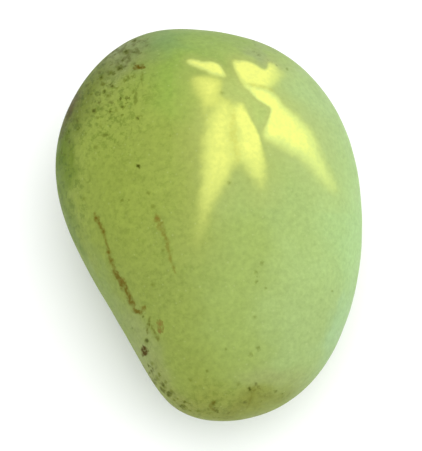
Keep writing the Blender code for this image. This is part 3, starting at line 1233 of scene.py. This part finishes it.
    def _specks(
        self, graph: Graph, place: object, colour: object, cork: object
    ) -> tuple[bpy.types.NodeSocket, bpy.types.NodeSocket]:
        """Lays the single specks, ragged and paler at the rim.

        Args:
            graph: The material's graph.
            place: Where the effects are read.
            colour: The skin's colour so far.
            cork: The mask of the cork so far.

        Returns:
            The colour with the specks, and the mask of all cork.
        """
        ragged = graph.times(graph.noise(place, 0.9 * MM, 3), self.raggedness)
        kinds = (
            ("specks", self.dark_cork, self.olive_cork, 0.9, 0.12),
            ("faint_specks", self.olive_cork, self.olive_cork, 0.5, 0.45),
            ("sores", self.red_cork, self.cork, 0.66, 0.15),
        )
        for name, middle, rim, strength, blur in kinds:
            away = graph.vectors("LENGTH", {0: graph.painted(name)})["Value"]
            away = graph.math("ADD", away, ragged)
            edge = graph.ease(away, self.speck_rim[0] + blur, self.speck_rim[1] - blur)
            core = graph.ease(away, self.speck_core[0] + blur, self.speck_core[1] - blur)
            edge_share = graph.times(edge, self.rim_strength * strength)
            core_share = graph.times(core, self.core_strength * strength)
            colour = graph.mix(edge_share, colour, self.under_light(rim))
            colour = graph.mix(core_share, colour, self.under_light(middle))
            cork = graph.most(cork, edge)
        return colour, cork

    def _scars_and_sun_seams(
        self, graph: Graph, place: object, colour: object, cork: object
    ) -> tuple[bpy.types.NodeSocket, bpy.types.NodeSocket]:
        """Lays the scars and the two seams of painted sunlight, uneven in width and strength.

        Args:
            graph: The material's graph.
            place: Where the effects are read.
            colour: The skin's colour so far.
            cork: The mask of the cork so far.

        Returns:
            The colour with the scars and the seams of painted sunlight, and the mask of all cork, which
            takes in the seams too.
        """
        sway = graph.math("SUBTRACT", graph.noise(place, 1.4 * MM, 3), 0.5)
        thin = graph.ease(graph.noise(place, 1.6 * MM, 2), 0.32, 0.6, 0.45, 1.25)
        patchy = graph.ease(graph.noise(place, 0.9 * MM, 3), 0.36, 0.6, 0.55, 1.12)
        for name, scar in SCARS_AND_SUN_SEAMS.items():
            aside, width, _ = graph.split(graph.painted(name))
            swayed = graph.math("ABSOLUTE", graph.math("MULTIPLY_ADD", sway, scar.sway, aside))
            room = graph.math("SUBTRACT", graph.times(width, thin), swayed)
            mark = graph.ease(room, -scar.softness, scar.softness)
            mark = graph.times(mark, graph.times(patchy, scar.strength))
            colour = graph.mix(mark, colour, self.under_light(scar.colour))
            cork = graph.most(cork, mark)
        return colour, cork

    def under_light(self, colour: Colour) -> Colour:
        """Turns a colour as the photograph shows it into the skin's own, without the light and the gloss."""
        return tuple(max(value * self.exposure - self.bloom, 0.0) for value in colour)


@dataclass
class MangoFruit:
    """The whole fruit, its skin eased into its real soft form and painted.

    The underside's colour gives way to the ground's between the two heights of its edge. The hidden
    specks are on the sides that the photograph doesn't show, and their radii are in millimetres.
    """

    node: str = "fruit"
    levels: int = 2
    wave_size: float = 16 * MM
    wave_height: float = 0.35 * MM
    floor_room: float = 6 * MM
    underside_edge: Pair = (12 * MM, 45 * MM)
    stalk_end_reach: float = 16 * MM
    hidden_share: float = 0.1
    hidden_specks: int = 70
    hidden_radii: Pair = (0.25, 0.6)
    seed: int = 7
    finish: SkinFinish = SkinFinish()

    def build(self, camera: PhotoCamera) -> bpy.types.Object:
        """Models and paints the fruit.

        Args:
            camera: The photograph's camera.

        Returns:
            The finished piece.
        """
        piece = merged_copy(self.node, "mango_skin")
        apply_modifier(piece, "SUBSURF", levels=self.levels, render_levels=self.levels)
        self._free_skin(piece)
        ripple(piece, self.wave_size, self.wave_height, "free_skin")
        piece.vertex_groups.clear()
        select_only(piece)
        bpy.ops.object.shade_smooth()
        self._paint(SkinPainter(piece, camera))
        return piece

    def _free_skin(self, piece: bpy.types.Object) -> None:
        """Marks the skin that may ripple, which isn't where the fruit rests.

        Args:
            piece: The fruit's object.
        """
        free = piece.vertex_groups.new(name="free_skin")
        for vert in piece.data.vertices:
            height = min(vert.co.z / self.floor_room, 1.0)
            free.add([vert.index], height * height, "REPLACE")

    def _paint(self, painter: SkinPainter) -> None:
        """Paints the skin's tone with its painted shade and reflection, the patches of painted sunlight, the
        scars and sun seams, the specks and the corky zones.

        Args:
            painter: The painter of the fruit's points.
        """
        finish = self.finish
        height = smoothstep(*self.underside_edge, painter.places[:, 2])[:, None]
        tone = np.array(finish.underside) * (1 - height) + np.array(finish.ground) * height
        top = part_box(self.node)[1].y
        stalk = smoothstep(top - self.stalk_end_reach, top, painter.places[:, 1])[:, None]
        tone = tone * (1 - stalk) + np.array(finish.stalk_end) * stalk
        # the washes give the skin's tone, with painted shade on the left rim and painted reflection on the
        # right
        tone = painter.wash(tone, WASHES.values())
        keep(painter.mesh, "tone_and_painted_light", np.maximum(tone * finish.exposure - finish.bloom, 0))
        # patches of painted sunlight
        for name, patch in PAINTED_SUN_PATCHES.items():
            keep(painter.mesh, name, painter.patch(patch))
        for name, scar in SCARS_AND_SUN_SEAMS.items():
            keep(painter.mesh, name, painter.scar(scar))
        self._paint_specks(painter)
        self._paint_zones(painter)

    def _paint_specks(self, painter: SkinPainter) -> None:
        """Paints the specks that the photograph shows, and others on the sides that it doesn't.

        Args:
            painter: The painter of the fruit's points.
        """
        draw = np.random.default_rng(self.seed)
        pixel_size = painter.camera.distance / painter.camera.focus
        for name, marks in (("specks", SPECKS), ("faint_specks", FAINT_SPECKS), ("sores", SORES)):
            middles = [painter.on_skin(Pixel(x, y)) for x, y, _ in marks]
            radii = [radius * pixel_size for _, _, radius in marks]
            if name == "specks":
                hidden = np.flatnonzero(painter.seen < self.hidden_share)
                for index in draw.choice(hidden, self.hidden_specks, replace=False):
                    middles.append(painter.places[index])
                    radii.append(draw.uniform(*self.hidden_radii) * MM)
            keep(painter.mesh, name, painter.specks(np.array(middles), np.array(radii)))

    def _paint_zones(self, painter: SkinPainter) -> None:
        """Paints how densely cork covers the skin.

        Args:
            painter: The painter of the fruit's points.
        """
        covers = []
        for zones, least in ((GREY_ZONES, 0.0), (DARK_ZONES, 0.0), (FLECK_ZONES, PLAIN_FLECKS)):
            cover = np.full(len(painter.places), least)
            for zone in zones.values():
                cover = np.maximum(cover, painter.brush(zone.at, zone.reach, zone.turn) * zone.density)
            covers.append(cover)
        keep(painter.mesh, "cork_zones", np.stack(covers, axis=1))


@dataclass(frozen=True)
class StalkFinish:
    """Dry, cracked bark with a paler, ringed cut end that has a dark pith."""

    bark: Colour = srgb(98, 80, 54)
    crack: Colour = srgb(42, 32, 22)
    cut: Colour = srgb(178, 156, 110)
    pith: Colour = srgb(74, 54, 36)
    roughness: float = 0.84
    stretch: tuple[float, float, float] = (1.0, 1.0, 0.25)
    crack_size: float = 0.7 * MM
    mottle: float = 1.2 * MM
    ring: float = 0.45 * MM
    pith_edge: Pair = (1.2 * MM, 0.7 * MM)
    depth: float = 0.15 * MM

    def build(self, effects: Effects) -> bpy.types.Material:
        """Makes the stalk's material.

        Args:
            effects: The shared node groups.

        Returns:
            The material.
        """
        material, graph, shader = new_material("dry_stalk_bark")
        place = graph.painted("upright")
        grain = graph.vectors("MULTIPLY", {0: place, 1: self.stretch})[0]
        cracks = graph.group(
            effects.speckles, Place=grain, Size=self.crack_size, Cover=0.62, Softness=0.1
        )
        bark = graph.mix(graph.times(cracks, 0.8), self.bark, self.crack)
        bark = graph.group(effects.mottling, Place=place, Size=self.mottle, Amount=0.9, Colour=bark)

        x, y, _ = graph.split(place)
        out = graph.math("SQRT", graph.math("ADD", graph.times(x, x), graph.times(y, y)))
        cut = graph.mix(graph.ease(out, *self.pith_edge), self.cut, self.pith)
        cut = graph.group(effects.mottling, Place=place, Size=self.ring, Amount=0.8, Colour=cut)
        cut_end = graph.split(graph.painted("cut_end"))[0]
        colour = graph.mix(graph.ease(cut_end, 0.3, 0.7), bark, cut)
        graph.tree.links.new(colour, shader.inputs["Base Color"])
        shader.inputs["Roughness"].default_value = self.roughness

        rough = graph.math("SUBTRACT", graph.noise(grain, 0.5 * MM, 4), cracks)
        graph.tree.links.new(graph.relief(rough, 0.8, self.depth), shader.inputs["Normal"])
        return material


@dataclass
class StalkStub:
    """The woody stub of the stalk, in the fruit's basin.

    Its rings are (radius, height above its root), and the foot is where the form below them starts. The
    cut end begins a little inside the third ring from the last, and takes a share of the bark's waves.
    """

    node: str = "stalk_stub"
    sides: int = 40
    levels: int = 2
    foot: float = 0.1 * MM
    rings: tuple[Pair, ...] = (
        (3.05 * MM, 2.6 * MM),
        (3.85 * MM, 3.25 * MM),
        (4.05 * MM, 3.65 * MM),
        (3.8 * MM, 4.05 * MM),
        (2.95 * MM, 4.45 * MM),
        (2.5 * MM, 4.85 * MM),
        (2.5 * MM, 5.2 * MM),
        (2.72 * MM, 5.55 * MM),
        (2.7 * MM, 5.75 * MM),
    )
    cut_rings: tuple[Pair, ...] = (
        (2.4 * MM, 5.8 * MM),
        (1.7 * MM, 5.66 * MM),
        (1.1 * MM, 5.6 * MM),
        (0.85 * MM, 5.3 * MM),
        (0.3 * MM, 5.25 * MM),
    )
    cut_margin: float = 0.1 * MM
    cut_waves: float = 0.25
    wave_size: float = 1.1 * MM
    wave_height: float = 0.5 * MM
    finish: StalkFinish = StalkFinish()

    def build(self) -> bpy.types.Object:
        """Models the stub upright and then sets it in its socket.

        Returns:
            The finished piece.
        """
        radius, height = self.rings[0][0], self.foot
        bpy.ops.object.select_all(action="DESELECT")
        bpy.ops.mesh.primitive_circle_add(
            vertices=self.sides, radius=radius, fill_type="NGON", location=(0, 0, height)
        )
        piece = bpy.context.object
        piece.name = "stalk_stub_bark"
        bpy.ops.object.transform_apply(location=True, rotation=True, scale=True)
        bpy.ops.object.mode_set(mode="EDIT")
        bpy.ops.mesh.select_all(action="SELECT")
        for next_radius, next_height in self.rings + self.cut_rings:
            rise = (0, 0, next_height - height)
            bpy.ops.mesh.extrude_region_move(TRANSFORM_OT_translate={"value": rise})
            scale = next_radius / radius
            bpy.ops.transform.resize(value=(scale, scale, 1), center_override=(0, 0, next_height))
            radius, height = next_radius, next_height
        bpy.ops.mesh.select_all(action="SELECT")
        bpy.ops.mesh.normals_make_consistent(inside=False)
        bpy.ops.object.mode_set(mode="OBJECT")
        apply_modifier(piece, "SUBSURF", levels=self.levels, render_levels=self.levels)
        self._mark(piece)
        ripple(piece, self.wave_size, self.wave_height, "bark")
        piece.vertex_groups.clear()
        self._set_in_place(piece)
        bpy.ops.object.shade_smooth()
        return piece

    def _mark(self, piece: bpy.types.Object) -> None:
        """Keeps each point's upright place and whether it is on the cut end, and marks the rough bark.

        Args:
            piece: The stub's object, still upright.
        """
        bark = piece.vertex_groups.new(name="bark")
        upright = []
        cut_end = []
        for vert in piece.data.vertices:
            x, y, z = vert.co
            inside = math.hypot(x, y) < self.cut_rings[0][0] + self.cut_margin
            cut = z > self.rings[-3][1] and inside
            upright.append((x, y, z))
            cut_end.append((float(cut), 0.0, 0.0))
            rough = self.cut_waves if cut else 1.0
            if z < self.rings[0][1]:
                rough = 0.0
            bark.add([vert.index], rough, "REPLACE")
        keep(piece.data, "upright", np.array(upright))
        keep(piece.data, "cut_end", np.array(cut_end))

    def _set_in_place(self, piece: bpy.types.Object) -> None:
        """Turns the stub to the axis of the node that it replaces and sets it on that node's root.

        Args:
            piece: The stub's object, still upright.
        """
        places = np.array([vert.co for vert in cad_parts[self.node].data.vertices])
        places = np.unique(places.round(decimals=7), axis=0)
        middle = places.mean(axis=0)
        spreads, ways = np.linalg.eigh(np.cov((places - middle).T))
        odd = 0 if spreads[1] - spreads[0] > spreads[2] - spreads[1] else 2
        axis = Vector(ways[:, odd])
        if axis.y < 0:
            axis = -axis
        root = ((places - middle) @ np.array(axis)).min()
        seat = Vector(middle) + axis * root
        piece.matrix_world = Matrix.Translation(seat) @ axis.to_track_quat("Z", "X").to_matrix().to_4x4()
        select_only(piece)
        bpy.ops.object.transform_apply(location=True, rotation=True, scale=True)


@dataclass(frozen=True)
class SoftLight:
    """A large soft lamp: the way to it as right, up and back in the picture, and its size and power."""

    toward: tuple[float, float, float]
    size: float
    power: float
    colour: Colour


LIGHTS = {
    "sky": SoftLight((0.15, 0.30, 1.0), 1.4, 12.2, (1.0, 1.0, 0.98)),
    "side": SoftLight((1.3, 0.25, 0.35), 0.8, 2.6, (0.88, 0.96, 1.0)),
}


@dataclass
class Studio:
    """The plain pale floor, the soft light and the pale surroundings."""

    floor_side: float = 6.0
    floor_colour: Colour = srgb(250, 250, 249)
    floor_roughness: float = 0.8
    world_colour: Colour = (0.94, 0.97, 1.0)
    world_strength: float = 0.76
    light_distance: float = 1.2

    def build(self, camera: PhotoCamera) -> None:
        """Lays the floor and puts up the lights.

        Args:
            camera: The photograph's camera, which the lights are placed by.
        """
        self._floor()
        for name, light in LIGHTS.items():
            self._lamp(name, light, camera)
        world = bpy.data.worlds.new("pale_surroundings")
        bpy.context.scene.world = world
        world.use_nodes = True
        background = world.node_tree.nodes["Background"]
        background.inputs["Color"].default_value = (*self.world_colour, 1.0)
        background.inputs["Strength"].default_value = self.world_strength
        bpy.context.scene.view_settings.view_transform = "Standard"

    def _floor(self) -> None:
        """Lays the plain floor."""
        bpy.ops.object.select_all(action="DESELECT")
        bpy.ops.mesh.primitive_plane_add(size=self.floor_side, location=(0, 0, 0))
        floor = bpy.context.object
        floor.name = "floor"
        material, _, shader = new_material("pale_floor")
        shader.inputs["Base Color"].default_value = (*self.floor_colour, 1.0)
        shader.inputs["Roughness"].default_value = self.floor_roughness
        floor.data.materials.append(material)

    def _lamp(self, name: str, light: SoftLight, camera: PhotoCamera) -> None:
        """Puts up one soft lamp that faces the fruit.

        Args:
            name: The lamp's name.
            light: Its size, power and colour, and the way to it.
            camera: The photograph's camera, which it is placed by.
        """
        data = bpy.data.lights.new(name, "AREA")
        data.shape = "DISK"
        data.size = light.size
        data.energy = light.power
        data.color = light.colour
        lamp = bpy.data.objects.new(name, data)
        bpy.context.scene.collection.objects.link(lamp)
        right, up, back = light.toward
        way = (camera.right * right + camera.up * up + camera.back * back).normalized()
        lamp.location = Vector(camera.aim) + way * self.light_distance
        lamp.rotation_mode = "QUATERNION"
        lamp.rotation_quaternion = (-way).to_track_quat("-Z", "Y")


def hand_over(piece: bpy.types.Object, node: str, material: bpy.types.Material) -> None:
    """Gives a finished piece its material and puts it in its node's place.

    Args:
        piece: The finished piece.
        node: The node that it replaces.
        material: Its material.
    """
    piece.data.materials.clear()
    piece.data.materials.append(material)
    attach(piece, "root")
    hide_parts(node)
    triangles = sum(len(face.vertices) - 2 for face in piece.data.polygons)
    log.info("%s: %d triangles, in place of %s", piece.name, triangles, node)


def main() -> None:
    """Builds the camera, the studio, the fruit and its stalk."""
    logging.basicConfig(level=logging.INFO, format="%(message)s")
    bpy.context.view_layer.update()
    camera = PhotoCamera()
    camera.build()
    Studio().build(camera)

    effects = Effects(speckle_group(), blot_group(), mottle_group())
    fruit = MangoFruit()
    hand_over(fruit.build(camera), fruit.node, fruit.finish.build(effects, camera.back))
    stub = StalkStub()
    hand_over(stub.build(), stub.node, stub.finish.build(effects))


if __name__ == "__main__":
    main()
